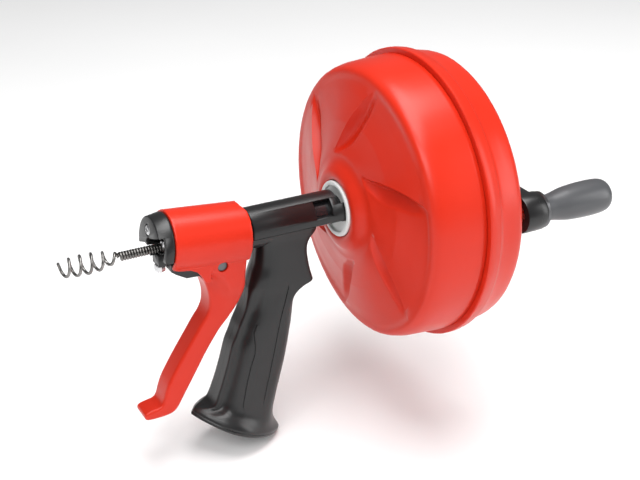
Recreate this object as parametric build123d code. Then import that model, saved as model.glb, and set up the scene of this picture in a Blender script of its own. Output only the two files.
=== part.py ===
from build123d import *
import os
from math import cos, sin, radians

os.makedirs("parts", exist_ok=True)

# Drum drain snake with a pistol grip. Everything is drawn in millimetres about the drum's
# seam plane, with the drum turning about the X axis: +X points to the crank, the cable
# leaves at -X, and the grip hangs towards -Z. On export each piece is moved along X, so
# that the part's origin lies in the middle of the drive shank's free end.

# Drive shank and the origin
SHANK_R = 5.0
SHANK_END_R = 4.75
SHANK_TIP_X = 76.0
SHANK_FREE_LENGTH = 16.0
ORIGIN_X = SHANK_TIP_X - SHANK_FREE_LENGTH / 2

# Drum
DRUM_R = 100.0
DRUM_WALL = 2.5
DRUM_FRONT_X = -57.6
DRUM_LIP_R = 103.5
DRUM_LIP_X = 9.0
DRUM_REAR_X = 33.0
DRUM_REAR_R = 98.2
HUB_SEAT_R = 20.1
HUB_SLEEVE_R = 19.4
BUSH_FLANGE_R = 19.8
BUSH_FLANGE = 2.5
BUSH_BODY_R = 14.6
BUSH_TAIL_X = -39.0
RUNNING_GAP = 0.05
SEAT_GAP = 0.1
CLEAR = 0.3

# Cable, its coil in the drum and the auger on its tip
CABLE_R = 3.175
CABLE_TIP_X = -216.0
CABLE_TAIL_X = -33.0
COIL_INNER_R = 75.0
COIL_OUTER_R = 94.0
COIL_FRONT_X = -17.0
COIL_REAR_X = 14.75
LEAD_X = 14.0
LEAD_BEND_R = 40.0
AUGER_WIRE_R = 1.0
AUGER_R = 6.0
AUGER_PITCH = 8.0
AUGER_TURNS = 5

# Barrel and the tube that the drum turns on
BARREL_R = 14.3
BARREL_FRONT_X = -127.0
BARREL_REAR_X = -60.4
BARREL_LOWER_REAR_X = -78.0
COVER_EDGE_Z = -3.0
SPINDLE_R = 9.6
SPINDLE_BORE_R = 5.2
SPINDLE_FLANGE_R = 12.0
SPINDLE_FLANGE = 3.0
SPINDLE_TAIL_X = -32.0
WINDOW_X = (-75.0, -62.5)
WINDOW_Z = (6.5, 12.6)
RING_X = -35.6
RING_WIDTH = 1.6
RING_R = 12.6
WASHER_R = 14.2

# Spine under the hood, with the trigger's pivot
SPINE_R = 13.2
SPINE_FRONT_X = -175.0
SPINE_HALF_WIDTH = 11.4
GUIDE_R = 5.2
GUIDE_BORE_R = 4.0
PIVOT_X = -150.7
PIVOT_Z = -15.5
PIVOT_PIN_R = 3.0
PIVOT_PIN_HALF = 15.2
TRIGGER_REST_DEG = 5.3

# Hood and lever
HOOD_R = 21.5
HOOD_WALL = 3.0
HOOD_FRONT_X = -186.0
HOOD_REAR_X = -132.0
HOOD_SKIRT_Z = -13.0
CHEEK_HALF = 16.4
CHEEK_INNER_HALF = 12.0
LEVER_HALF = 8.5

# Nose
NOSE_R = 20.4
NOSE_FACE_R = 18.4
NOSE_FACE_X = -196.5
NOSE_BAND_X = -187.4
NOSE_BACK_X = -186.4
NOSE_BORE_R = 15.5
NOSE_SLEEVE_R = 18.3
NOSE_PLATE = 4.4
NOSE_WEB_X = (-181.2, -179.0)
NOSE_SKIRT_Z = -7.0
NOSE_ROLL_DEG = 20.5
NEAR_PLATE_LOW_Z = 3.7
FAR_PLATE_LOW_Z = 1.2
NOTCH_R = 4.8
SCREW_Z = 9.2
NOSE_SCREW_R = 3.7
ROLLER_R = 3.0
ROLLER_LENGTH = 7.0
ROLLER_PIN_R = 1.2
ROLLER_X = -185.2
ROLLER_SKEW_DEG = 10.0
ROLLER_NIP_ANGLE_DEG = 24.0
ROLLER_NIP_GAP = 0.25
STUD_HEAD_R = 2.2
BRACKET_X = (-191.0, -175.1)
BRACKET_HALF = 5.5
BRACKET_Z = (-11.5, -3.4)
LOWER_PIN_HALF = 5.2
NUT_X = -188.4
NUT_FLATS = 6.4
NUT_Z = (-16.5, -11.6)

# Crank
CRANK_RADIUS = 80.5
CRANK_LIFT_DEG = 4.85
ARM_FRONT_X = 38.0
ARM_REAR_X = 50.0
ARM_HUB_R = 21.0
ARM_BOSS_R = 15.0
BOSS_REAR_X = 60.0
KNOB_WASHER_R = 14.5
KNOB_WASHER = 2.0
KNOB_FRONT_X = 62.6
KNOB_REAR_X = 118.0
KNOB_NECK_R = 9.6
KNOB_BULB_R = 14.0
KNOB_AXLE_R = 4.0
AXLE_HEAD_R = 6.5

# Grip
GRIP_WALL = 3.2
GRIP_CORNER = 9.0
BASE_TILT_DEG = 26.6
BASE_THICKNESS = 5.0
BASE_FRONT = (-171.0, -131.0)
SCREW_R = 1.6
SCREW_HEAD_R = 3.4

# Grip sections: height, front X, rear X, half width
UPPER_GRIP = [
    (-11.0, -120.5, -83.5, 12.5),
    (-24.0, -121.2, -84.8, 13.5),
    (-34.0, -124.3, -82.8, 14.5),
    (-43.0, -127.0, -80.4, 15.0),
]
LOWER_GRIP = [
    (-43.0, -127.0, -85.5, 15.0),
    (-52.0, -129.5, -95.0, 15.6),
    (-75.0, -138.5, -96.5, 16.5),
    (-98.0, -146.3, -100.5, 16.5),
    (-122.0, -155.0, -106.5, 17.0),
    (-160.0, -168.0, -114.0, 19.0),
]

# Base flange outline in its own plane: distance from the front tip, half width
BASE_OUTLINE = [
    (0.0, 0.0), (7.0, 10.5), (17.0, 20.0), (30.0, 24.5), (44.0, 23.0), (58.0, 16.5), (69.0, 7.0), (72.7, 0.0),
]

# Lever side view at rest, as X and Z: its front edge, its curled toe and its back edge
LEVER_FRONT = [(-163.0, -20.0), (-157.6, -40.0), (-165.5, -61.0), (-189.3, -98.1), (-194.0, -111.0)]
LEVER_TOE = [(-194.0, -111.0), (-199.0, -115.6), (-205.5, -116.9), (-208.6, -120.5), (-204.5, -123.8),
             (-192.0, -123.6), (-184.5, -120.5)]
LEVER_BACK = [(-184.5, -120.5), (-170.9, -98.0), (-155.0, -71.7), (-140.0, -53.3), (-133.4, -38.0),
              (-133.0, -20.0)]
LEVER_SHOULDER_Z = -26.0

# Wedge of the spine that shows under the hood, as X and Z
WEDGE_OUTLINE = [
    (-184.9, -8.5), (-184.9, -13.6), (-181.5, -16.3), (-174.6, -20.4), (-163.0, -21.2), (-139.0, -21.2),
    (-129.0, -15.5), (-126.0, -11.0), (-126.0, -8.5),
]


def save(name, shape):
    """Write one piece, moved so that the origin is on the drive shank."""
    export_step(Pos(-ORIGIN_X, 0, 0) * shape, f"parts/{name}.step")


def rod(radius, x_from, x_to, y=0.0, z=0.0):
    """Solid round bar along X."""
    return Pos((x_from + x_to) / 2, y, z) * Rot(0, 90, 0) * Cylinder(radius, abs(x_to - x_from))


def pipe(outer, inner, x_from, x_to, y=0.0, z=0.0):
    """Round tube along X."""
    return rod(outer, x_from, x_to, y, z) - rod(inner, x_from - 1, x_to + 1, y, z)


def cross_rod(radius, y_from, y_to, x, z):
    """Solid round bar along Y."""
    return Pos(x, (y_from + y_to) / 2, z) * Rot(90, 0, 0) * Cylinder(radius, abs(y_to - y_from))


def block(x_range, y_range, z_range):
    """Box given by its low and high corner values."""
    size = [high - low for low, high in (x_range, y_range, z_range)]
    middle = [(high + low) / 2 for low, high in (x_range, y_range, z_range)]
    return Pos(*middle) * Box(*size)


def side_face(points):
    """Face in the XZ plane through a closed outline."""
    return make_face(Polyline(*[(x, 0, z) for x, z in points], close=True))


def side_plate(points, half_width):
    """Outline in the XZ plane, thickened evenly to both sides of Y = 0."""
    return extrude(side_face(points), amount=half_width, both=True)


def side_curve(points):
    """Smooth curve in the XZ plane through (X, Z) points."""
    return Spline(*[(x, 0, z) for x, z in points])


def turned(points):
    """Solid of revolution about X from (X, radius) points."""
    return revolve(side_face(points), axis=Axis.X)


def hex_bar(across_flats, x_from, x_to):
    """Hexagonal bar along X."""
    flat = RegularPolygon(across_flats / 2, 6, major_radius=False)
    return Pos(x_from, 0, 0) * Rot(0, 90, 0) * extrude(flat, amount=x_to - x_from)


def about_pivot(shape):
    """Turn a piece drawn level with the cable to its rest attitude, nose up."""
    pivot = Pos(PIVOT_X, 0, PIVOT_Z)
    return pivot * Rot(0, TRIGGER_REST_DEG, 0) * pivot.inverse() * shape


def on_crank(shape):
    """Turn a piece drawn on the -Y side to the crank's rest angle."""
    return Rot(-CRANK_LIFT_DEG, 0, 0) * shape


# Drum -----------------------------------------------------------------------------------

def drum_front_shell():
    wall = DRUM_WALL
    outer = [(DRUM_FRONT_X, HUB_SEAT_R), (DRUM_FRONT_X, 25.0), (-52.5, 31.0), (-40.0, 86.0), (-38.2, 92.2),
             (-36.4, 95.0), (-33.8, 96.8), (-30.6, 97.6), (0.0, DRUM_R - 0.2)]
    spigot = [(0.0, DRUM_R - 0.2), (6.0, DRUM_R - 0.4), (6.0, DRUM_R - wall), (0.0, DRUM_R - wall - 0.1)]
    inner = [(-30.0, 97.4 - wall), (-33.6, 92.4), (-37.2, 84.5), (-50.0, 29.5), (-53.0, HUB_SLEEVE_R),
             (-40.0, HUB_SLEEVE_R)]
    sleeve = [(-40.0, BUSH_BODY_R + SEAT_GAP), (DRUM_FRONT_X + BUSH_FLANGE - 1.0, BUSH_BODY_R + SEAT_GAP),
              (DRUM_FRONT_X + BUSH_FLANGE - 1.0, HUB_SEAT_R)]
    return turned(outer + spigot[1:] + inner + sleeve)


def drum_rear_shell():
    wall = DRUM_WALL
    corner = 7.0
    outer = [(0.4, DRUM_R + 0.2), (0.4, DRUM_LIP_R), (DRUM_LIP_X, DRUM_LIP_R), (DRUM_LIP_X + 1.0, 101.6),
             (DRUM_LIP_X + 4.0, 100.2), (26.0, DRUM_REAR_R), (DRUM_REAR_X - 2.0, 95.5),
             (DRUM_REAR_X, DRUM_REAR_R - corner),
             (DRUM_REAR_X, 34.0), (DRUM_REAR_X + 2.0, 30.0), (DRUM_REAR_X + 2.0, SHANK_R + 0.6)]
    inner = [(DRUM_REAR_X - wall, SHANK_R + 0.6), (DRUM_REAR_X - wall, DRUM_REAR_R - corner - wall),
             (26.0 - wall, DRUM_REAR_R - wall), (DRUM_LIP_X, DRUM_R - wall - 0.2), (6.4, DRUM_R - wall - 0.2),
             (6.4, DRUM_R + 0.2)]
    return turned(outer + inner)


def drum_bushing():
    flange_front = DRUM_FRONT_X - 1.0
    flange = pipe(BUSH_FLANGE_R, SPINDLE_R + RUNNING_GAP, flange_front, flange_front + BUSH_FLANGE - SEAT_GAP)
    body = pipe(BUSH_BODY_R, SPINDLE_R + RUNNING_GAP, flange_front + 1.0, BUSH_TAIL_X)
    return flange + body


def drive_plate():
    front = DRUM_REAR_X - DRUM_WALL - 3.1
    plate = pipe(30.0, SHANK_R + 0.1, front, front + 3.0)
    for hole in PolarLocations(22.0, 4):
        plate -= rod(2.1, front - 1, front + 4, hole.position.X, hole.position.Y)
    return plate


def plate_screws():
    """Four screws that hold the drive plate to the rear shell, heads inside the drum."""
    front = DRUM_REAR_X - DRUM_WALL - 3.1
    screws = []
    for hole in PolarLocations(22.0, 4):
        y, z = hole.position.X, hole.position.Y
        head = rod(3.8, front - 2.4, front - 0.1, y, z)
        screws.append(head + rod(2.0, front - 0.2, DRUM_REAR_X - DRUM_WALL - 0.05, y, z))
    return Compound(screws)


def drive_shank():
    head_x = DRUM_REAR_X - DRUM_WALL - 3.2
    shoulder_x = SHANK_TIP_X - SHANK_FREE_LENGTH
    head = hex_bar(15.0, head_x - 6.0, head_x)
    return head + rod(SHANK_R, head_x - 1.0, shoulder_x) + rod(SHANK_END_R, shoulder_x - 1.0, SHANK_TIP_X)


def cable_coil():
    return pipe(COIL_OUTER_R, COIL_INNER_R, COIL_FRONT_X, COIL_REAR_X)


def cable_lead():
    """Stretch of cable that comes off the coil and bends onto the drum's axis."""
    start = (LEAD_X, 0, COIL_INNER_R - 0.3)
    route = FilletPolyline(start, (LEAD_X, 0, 0), (CABLE_TAIL_X, 0, 0), radius=LEAD_BEND_R)
    section = Plane(origin=start, z_dir=(0, 0, -1)) * Circle(CABLE_R)
    return sweep(section, path=route)


def cable_anchor():
    """Clip at the rear wall that holds the cable's inner end."""
    return block((COIL_REAR_X + 0.3, COIL_REAR_X + 3.3), (-8, 8), (78, 92)) + block(
        (COIL_REAR_X + 3.0, DRUM_REAR_X - DRUM_WALL - 0.1), (-3, 3), (78, 84))


# Crank ----------------------------------------------------------------------------------

def crank_arm():
    hub = rod(ARM_HUB_R, ARM_FRONT_X, ARM_REAR_X)
    spacer = rod(12.0, DRUM_REAR_X + 2.2, ARM_FRONT_X)
    web_outline = [(-ARM_HUB_R, 0.0), (-ARM_BOSS_R, -CRANK_RADIUS),
                   (ARM_BOSS_R, -CRANK_RADIUS), (ARM_HUB_R, 0.0)]
    web_face = make_face(Polyline(*[(ARM_FRONT_X + 2.0, y, z) for z, y in web_outline], close=True))
    web = extrude(web_face, amount=ARM_REAR_X - ARM_FRONT_X - 2.0, dir=(1, 0, 0))
    boss = rod(ARM_BOSS_R, ARM_FRONT_X + 4.0, BOSS_REAR_X, -CRANK_RADIUS)
    arm = hub + spacer + web + boss
    arm -= rod(SHANK_R + 0.1, DRUM_REAR_X, BOSS_REAR_X + 1)
    arm -= rod(KNOB_AXLE_R + 0.1, ARM_FRONT_X - 1, BOSS_REAR_X + 1, -CRANK_RADIUS)
    arm -= rod(AXLE_HEAD_R + 0.4, ARM_FRONT_X - 1, ARM_FRONT_X + 8.0, -CRANK_RADIUS)
    return on_crank(arm)


def crank_washer():
    return pipe(10.0, SHANK_R + 0.1, ARM_REAR_X + 0.1, ARM_REAR_X + 1.7)


def crank_nut():
    nut = hex_bar(16.0, ARM_REAR_X + 1.8, ARM_REAR_X + 8.4)
    return nut - rod(SHANK_R + 0.05, ARM_REAR_X, ARM_REAR_X + 10)


def knob_axle():
    """Shoulder bolt, its head sunk in the front of the arm and its collar in the knob's end."""
    head = rod(AXLE_HEAD_R, ARM_FRONT_X + 4.4, ARM_FRONT_X + 7.9, -CRANK_RADIUS)
    shaft = rod(KNOB_AXLE_R, ARM_FRONT_X + 7.0, KNOB_REAR_X - 12.0, -CRANK_RADIUS)
    collar = rod(AXLE_HEAD_R, KNOB_REAR_X - 12.0, KNOB_REAR_X - 9.0, -CRANK_RADIUS)
    return on_crank(head + shaft + collar)


def knob_washer():
    front = BOSS_REAR_X + 0.1
    return on_crank(pipe(KNOB_WASHER_R, KNOB_AXLE_R + 0.1, front, front + KNOB_WASHER, -CRANK_RADIUS))


def crank_knob():
    swell = [(KNOB_FRONT_X, KNOB_NECK_R - 0.6), (KNOB_FRONT_X + 1.5, KNOB_NECK_R), (72.0, KNOB_NECK_R),
             (82.0, 10.6), (92.0, 12.4), (102.0, 13.7), (108.0, KNOB_BULB_R), (112.5, 13.2), (116.0, 10.6),
             (KNOB_REAR_X, 7.4)]
    knob = Pos(0, -CRANK_RADIUS, 0) * turned([(KNOB_FRONT_X, 0.0)] + swell + [(KNOB_REAR_X, 0.0)])
    knob -= rod(KNOB_AXLE_R + RUNNING_GAP, KNOB_FRONT_X - 1, KNOB_REAR_X + 1, -CRANK_RADIUS)
    knob -= rod(AXLE_HEAD_R + CLEAR, KNOB_REAR_X - 12.0 - CLEAR, KNOB_REAR_X + 1, -CRANK_RADIUS)
    return on_crank(knob)


def knob_cap():
    """Plug that closes the end of the knob over the axle's collar."""
    radius = AXLE_HEAD_R + CLEAR - SEAT_GAP
    return on_crank(rod(radius, KNOB_REAR_X - 9.0 + CLEAR, KNOB_REAR_X, -CRANK_RADIUS))


# Gun body -------------------------------------------------------------------------------

def grip_section(height, front_x, rear_x, half_width, inset):
    length = rear_x - front_x - 2 * inset
    width = 2 * (half_width - inset)
    corner = min(GRIP_CORNER, width / 2 - 0.5)
    return Pos((front_x + rear_x) / 2, 0, height) * RectangleRounded(length, width, corner)


def grip_column(sections, inset=0.0):
    """Smooth column through rounded sections, optionally shrunk for the hollow inside."""
    return loft([grip_section(*section, inset) for section in sections])


def base_plane():
    run, drop = cos(radians(BASE_TILT_DEG)), sin(radians(BASE_TILT_DEG))
    return Plane(origin=(BASE_FRONT[0], 0, BASE_FRONT[1]), x_dir=(run, 0, -drop), z_dir=(drop, 0, run))


def base_flange():
    """Flared foot of the grip: a pointed oval with its tip at the front."""
    near = Spline(*[(along, -half) for along, half in BASE_OUTLINE])
    far = Spline(*[(along, half) for along, half in BASE_OUTLINE])
    outline = make_face(near + far)
    return base_plane() * Pos(0, 0, -BASE_THICKNESS / 2) * extrude(outline, amount=BASE_THICKNESS)


def above_base(shape, offset):
    """Keep what lies above the tilted base plane."""
    keep = base_plane() * Pos(40, 0, 150 + offset) * Box(400, 200, 300)
    return shape & keep


def gun_body_solid():
    lower_barrel = rod(BARREL_R, BARREL_FRONT_X, BARREL_LOWER_REAR_X)
    lower_barrel -= block((-130, -70), (-20, 20), (COVER_EDGE_Z - CLEAR, 20))
    spine = rod(SPINE_R, SPINE_FRONT_X, BARREL_FRONT_X)
    wedge = side_plate(WEDGE_OUTLINE, SPINE_HALF_WIDTH)
    column = above_base(grip_column(LOWER_GRIP), 0.0)
    body = lower_barrel + spine + wedge + grip_column(UPPER_GRIP) + column + base_flange()
    body -= grip_column([(-18.0, -119.4, -84.4, 13.3)] + UPPER_GRIP[1:], GRIP_WALL)
    lower_hollow = grip_column([(-43.1, -127.0, -87.0, 15.0)] + LOWER_GRIP[1:], GRIP_WALL)
    body -= above_base(lower_hollow, BASE_THICKNESS / 2)
    return body


def body_cutters():
    """Bores, pockets and screw holes of the two grip shells."""
    cutters = [
        rod(GUIDE_R + SEAT_GAP, SPINE_FRONT_X - 1, BARREL_FRONT_X + 1),
        rod(SPINDLE_R + SEAT_GAP, BARREL_FRONT_X + 0.5, BARREL_LOWER_REAR_X + 20),
        rod(SPINDLE_FLANGE_R + SEAT_GAP, BARREL_FRONT_X + 0.4, BARREL_FRONT_X + 0.6 + SPINDLE_FLANGE),
        cross_rod(PIVOT_PIN_R + SEAT_GAP, -30, 30, PIVOT_X, PIVOT_Z),
        block((PIVOT_X - 6.0, PIVOT_X + 6.4), (-4.6, 4.6), (-30, PIVOT_Z + 6.0)),
        block((SPINE_FRONT_X - 20, SPINE_FRONT_X), (-BRACKET_HALF - CLEAR, BRACKET_HALF + CLEAR),
              (BRACKET_Z[0] - 0.1, 0)),
    ]
    return cutters


SCREW_PLACES = [(-168.0, -14.5), (-134.0, -13.5), (-98.0, -30.0), (-121.0, -75.0), (-137.0, -125.0)]


def screw_half_width(place):
    """Half width of the body where a shell screw crosses it."""
    return SPINE_HALF_WIDTH if place[0] < -130 and place[1] > -30 else 13.0


def shell_screw(place):
    x, z = place
    far = screw_half_width(place)
    head = cross_rod(SCREW_HEAD_R, far - 3.0, far - 0.6, x, z)
    return head + cross_rod(SCREW_R, -far + 4.0, far - 2.9, x, z)


def screw_post(place):
    """Pillar around a shell screw, from one shell wall to the other."""
    x, z = place
    half = UPPER_GRIP[0][3] if z > LOWER_GRIP[0][0] else LOWER_GRIP[0][3]
    return cross_rod(4.6, -half, half, x, z)


def screw_cutter(place):
    x, z = place
    far = screw_half_width(place)
    sink = cross_rod(SCREW_HEAD_R + SEAT_GAP, far - 3.1, far + 10, x, z)
    return sink + cross_rod(SCREW_R + SEAT_GAP, -far + 3.8, far, x, z)


def grip_shells():
    body = gun_body_solid()
    for place in SCREW_PLACES[2:]:
        body += screw_post(place)
    for cutter in body_cutters():
        body -= cutter
    for place in SCREW_PLACES:
        body -= screw_cutter(place)
    left = body & block((-300, 100), (-60, 0), (-250, 60))
    right = body & block((-300, 100), (0, 60), (-250, 60))
    return left, right


def grip_screws():
    return Compound([shell_screw(place) for place in SCREW_PLACES])


def barrel_cover():
    cover = rod(BARREL_R, BARREL_FRONT_X + 0.2, BARREL_REAR_X)
    cover -= block((-130, -50), (-20, 20), (-20, COVER_EDGE_Z))
    cover -= rod(SPINDLE_R + SEAT_GAP, BARREL_FRONT_X - 1, BARREL_REAR_X + 1)
    cover -= rod(SPINDLE_FLANGE_R + SEAT_GAP, BARREL_FRONT_X + 0.4, BARREL_FRONT_X + 0.6 + SPINDLE_FLANGE)
    for y_range in ((-20, -3.2), (3.2, 20)):
        cover -= block(WINDOW_X, y_range, WINDOW_Z)
    return cover


def spindle_tube():
    tube = rod(SPINDLE_R, BARREL_FRONT_X + 0.6, SPINDLE_TAIL_X)
    tube += rod(SPINDLE_FLANGE_R, BARREL_FRONT_X + 0.6, BARREL_FRONT_X + 0.5 + SPINDLE_FLANGE)
    tube -= rod(SPINDLE_BORE_R, BARREL_FRONT_X - 1, SPINDLE_TAIL_X + 1)
    tube -= pipe(SPINDLE_R + 1, SPINDLE_R - 1.2, RING_X - 0.1, RING_X + RING_WIDTH + 0.1)
    return tube


def guide_tube():
    return pipe(GUIDE_R, GUIDE_BORE_R, SPINE_FRONT_X + 0.5, BARREL_FRONT_X)


def thrust_washer():
    return pipe(WASHER_R, SPINDLE_R + 0.1, BUSH_TAIL_X + CLEAR, RING_X - 0.2)


def retaining_ring():
    return pipe(RING_R, SPINDLE_R - 1.1, RING_X, RING_X + RING_WIDTH)


def pivot_pin():
    return cross_rod(PIVOT_PIN_R, -PIVOT_PIN_HALF, PIVOT_PIN_HALF, PIVOT_X, PIVOT_Z)


def trigger_spring():
    """Torsion spring round the pivot pin; its legs bear on the spine and the lever."""
    coil = cross_rod(4.9, -4.0, 4.0, PIVOT_X, PIVOT_Z) - cross_rod(3.6, -5, 5, PIVOT_X, PIVOT_Z)
    leg = block((PIVOT_X + 3.6, PIVOT_X + 4.8), (2.8, 4.0), (-24.2, PIVOT_Z))
    return coil + leg


# Nose -----------------------------------------------------------------------------------

def roller_bracket():
    """Fixed block under the cable that carries the lower roller."""
    bracket = block(BRACKET_X, (-BRACKET_HALF, BRACKET_HALF), BRACKET_Z)
    half = ROLLER_LENGTH / 2 + CLEAR
    bracket -= block((ROLLER_X - half, ROLLER_X + half), (-3.6, 3.6), (-10.2, 0.0))
    bore_half = LOWER_PIN_HALF + 0.2
    bracket -= rod(ROLLER_PIN_R + RUNNING_GAP, ROLLER_X - bore_half, ROLLER_X + bore_half, 0.0, lower_roller_z())
    return bracket - rod(CABLE_R + 1.0, NOSE_FACE_X - 10, SPINE_FRONT_X + 10)


def bracket_nut():
    nut = RegularPolygon(NUT_FLATS / 2, 6, major_radius=False, rotation=30)
    return Pos(NUT_X, 0, NUT_Z[0]) * extrude(nut, amount=NUT_Z[1] - NUT_Z[0])


def lower_roller_z():
    return -(CABLE_R + ROLLER_R + ROLLER_NIP_GAP)


def lower_roller():
    half = ROLLER_LENGTH / 2
    return pipe(ROLLER_R, ROLLER_PIN_R + RUNNING_GAP, ROLLER_X - half, ROLLER_X + half, 0.0, lower_roller_z())


def lower_roller_pin():
    return rod(ROLLER_PIN_R, ROLLER_X - LOWER_PIN_HALF, ROLLER_X + LOWER_PIN_HALF, 0.0, lower_roller_z())


def nose_block():
    """Black nose: a front plate, a short sleeve inside the hood and a web for the studs."""
    ring = turned([(NOSE_FACE_X, 0), (NOSE_FACE_X, NOSE_FACE_R), (NOSE_BAND_X, NOSE_R),
                   (NOSE_BACK_X, NOSE_R), (NOSE_BACK_X, NOSE_SLEEVE_R), (NOSE_WEB_X[1], NOSE_SLEEVE_R),
                   (NOSE_WEB_X[1], 0)])
    ring -= rod(NOSE_BORE_R, NOSE_FACE_X + NOSE_PLATE, NOSE_WEB_X[0])
    plate = (NOSE_FACE_X - 5, NOSE_FACE_X + NOSE_PLATE + 0.1)
    roll = Rot(-NOSE_ROLL_DEG, 0, 0)
    ring -= rod(NOTCH_R, *plate)
    ring -= roll * block(plate, (-30, 0), (-40, NEAR_PLATE_LOW_Z))
    ring -= roll * block(plate, (0, 30), (-40, FAR_PLATE_LOW_Z))
    web = (NOSE_WEB_X[0] - 1, NOSE_WEB_X[1] + 1)
    ring -= block(web, (-BRACKET_HALF - 1, BRACKET_HALF + 1), (-40, BRACKET_Z[1] + 1.4))
    ring -= rod(CABLE_R + 1.0, *web)
    ring -= block(web, (-CABLE_R - 1.0, CABLE_R + 1.0), (-40, 0))
    ring -= block((NOSE_FACE_X - 5, NOSE_WEB_X[1] + 5), (-30, 30), (-40, NOSE_SKIRT_Z))
    ring -= roll * rod(2.1, NOSE_FACE_X - 5, NOSE_FACE_X + NOSE_PLATE + 1, 0.0, SCREW_Z)
    ring -= roll * rod(NOSE_SCREW_R + 0.2, NOSE_FACE_X - 5, NOSE_FACE_X + 1.6, 0.0, SCREW_Z)
    for side in (-1, 1):
        ring -= place_roller(side) * Rot(0, 90, 0) * Cylinder(ROLLER_PIN_R + RUNNING_GAP, 40)
    return about_pivot(ring)


def place_roller(side):
    """Where an upper roller's centre lies, level with the cable, and its axis, skewed across the cable."""
    reach = CABLE_R + ROLLER_R + ROLLER_NIP_GAP
    y = side * reach * cos(radians(ROLLER_NIP_ANGLE_DEG))
    z = reach * sin(radians(ROLLER_NIP_ANGLE_DEG))
    return Pos(ROLLER_X, y, z) * Rot(side * ROLLER_NIP_ANGLE_DEG, 0, 0) * Rot(0, side * ROLLER_SKEW_DEG, 0)


def nose_screw():
    head = rod(NOSE_SCREW_R, NOSE_FACE_X - 0.6, NOSE_FACE_X + 1.5, 0.0, SCREW_Z)
    shaft = rod(2.0, NOSE_FACE_X + 1.4, NOSE_FACE_X + NOSE_PLATE, 0.0, SCREW_Z)
    return about_pivot(Rot(-NOSE_ROLL_DEG, 0, 0) * (head + shaft))


def upper_roller(side):
    body = Cylinder(ROLLER_R, ROLLER_LENGTH) - Cylinder(ROLLER_PIN_R + RUNNING_GAP, ROLLER_LENGTH + 1)
    return about_pivot(place_roller(side) * Rot(0, 90, 0) * body)


def upper_roller_studs():
    """Studs that stand forward from the nose's web, a round head in front of each roller."""
    studs = []
    front = -ROLLER_LENGTH / 2
    for side in (-1, 1):
        stud = rod(ROLLER_PIN_R, front - 0.5, NOSE_WEB_X[1] - ROLLER_X - 0.2)
        head = rod(STUD_HEAD_R, front - 1.2, front - 0.2)
        studs.append(about_pivot(place_roller(side) * (stud + head)))
    return Compound(studs)


def trigger_lever():
    hood = pipe(HOOD_R, HOOD_R - HOOD_WALL, HOOD_FRONT_X, HOOD_REAR_X)
    hood -= block((-200, -120), (-30, 30), (-40, HOOD_SKIRT_Z))
    hood = about_pivot(hood)
    cheek_outline = [(-170.0, -11.0), (-166.0, -15.5), (-160.4, -27.5), (-133.8, -27.5), (-133.0, -11.0)]
    cheeks = side_plate(cheek_outline, CHEEK_HALF)
    cheeks -= block((-180, -120), (-CHEEK_INNER_HALF, CHEEK_INNER_HALF), (-24.8, 0))
    outline = [side_curve(points) for points in (LEVER_FRONT, LEVER_TOE, LEVER_BACK)]
    outline.append(Line(outline[2] @ 1, outline[0] @ 0))
    lever = extrude(make_face(outline), amount=LEVER_HALF, both=True)
    lever -= block((-200, -100), (-30, 30), (LEVER_SHOULDER_Z, 10))
    lever = hood + cheeks + lever
    lever -= cross_rod(PIVOT_PIN_R + RUNNING_GAP, -30, 30, PIVOT_X, PIVOT_Z)
    for side in (-1, 1):
        lever -= cross_rod(3.7, side * (PIVOT_PIN_HALF - 0.2), side * 30, PIVOT_X, PIVOT_Z)
    return lever


# Cable ----------------------------------------------------------------------------------

def cable_core():
    return rod(CABLE_R, CABLE_TIP_X, CABLE_TAIL_X - 0.3)


def bulb_auger():
    height = AUGER_PITCH * AUGER_TURNS
    path = Helix(AUGER_PITCH, height, AUGER_R)
    section = Plane(origin=path @ 0, z_dir=path % 0) * Circle(AUGER_WIRE_R)
    coil = Pos(CABLE_TIP_X - height, 0, 0) * Rot(0, 90, 0) * sweep(section, path=path, is_frenet=True)
    ferrule = rod(CABLE_R + 0.6, CABLE_TIP_X - 1.5, CABLE_TIP_X)
    stem = block((CABLE_TIP_X - 2.4, CABLE_TIP_X), (-1.4, 1.4), (-AUGER_R - 0.4, 0))
    return coil + stem + ferrule


grip_left, grip_right = grip_shells()

PIECES = {
    "grip_shell_left": grip_left,
    "grip_shell_right": grip_right,
    "grip_screws": grip_screws(),
    "barrel_cover": barrel_cover(),
    "spindle_tube": spindle_tube(),
    "guide_tube": guide_tube(),
    "thrust_washer": thrust_washer(),
    "retaining_ring": retaining_ring(),
    "pivot_pin": pivot_pin(),
    "trigger_spring": trigger_spring(),
    "roller_bracket": roller_bracket(),
    "bracket_nut": bracket_nut(),
    "lower_roller": lower_roller(),
    "lower_roller_pin": lower_roller_pin(),
    "trigger_lever": trigger_lever(),
    "nose_block": nose_block(),
    "nose_screw": nose_screw(),
    "upper_roller_near": upper_roller(-1),
    "upper_roller_far": upper_roller(1),
    "upper_roller_studs": upper_roller_studs(),
    "drum_front_shell": drum_front_shell(),
    "drum_rear_shell": drum_rear_shell(),
    "drum_bushing": drum_bushing(),
    "drive_plate": drive_plate(),
    "plate_screws": plate_screws(),
    "drive_shank": drive_shank(),
    "cable_coil": cable_coil(),
    "cable_lead": cable_lead(),
    "cable_anchor": cable_anchor(),
    "cable_core": cable_core(),
    "bulb_auger": bulb_auger(),
    "crank_arm": crank_arm(),
    "crank_washer": crank_washer(),
    "crank_nut": crank_nut(),
    "knob_axle": knob_axle(),
    "knob_washer": knob_washer(),
    "crank_knob": crank_knob(),
    "knob_cap": knob_cap(),
}

for name, piece in PIECES.items():
    save(name, piece)
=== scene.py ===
import math

import bmesh
import bpy
from mathutils import Matrix, Vector


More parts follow.
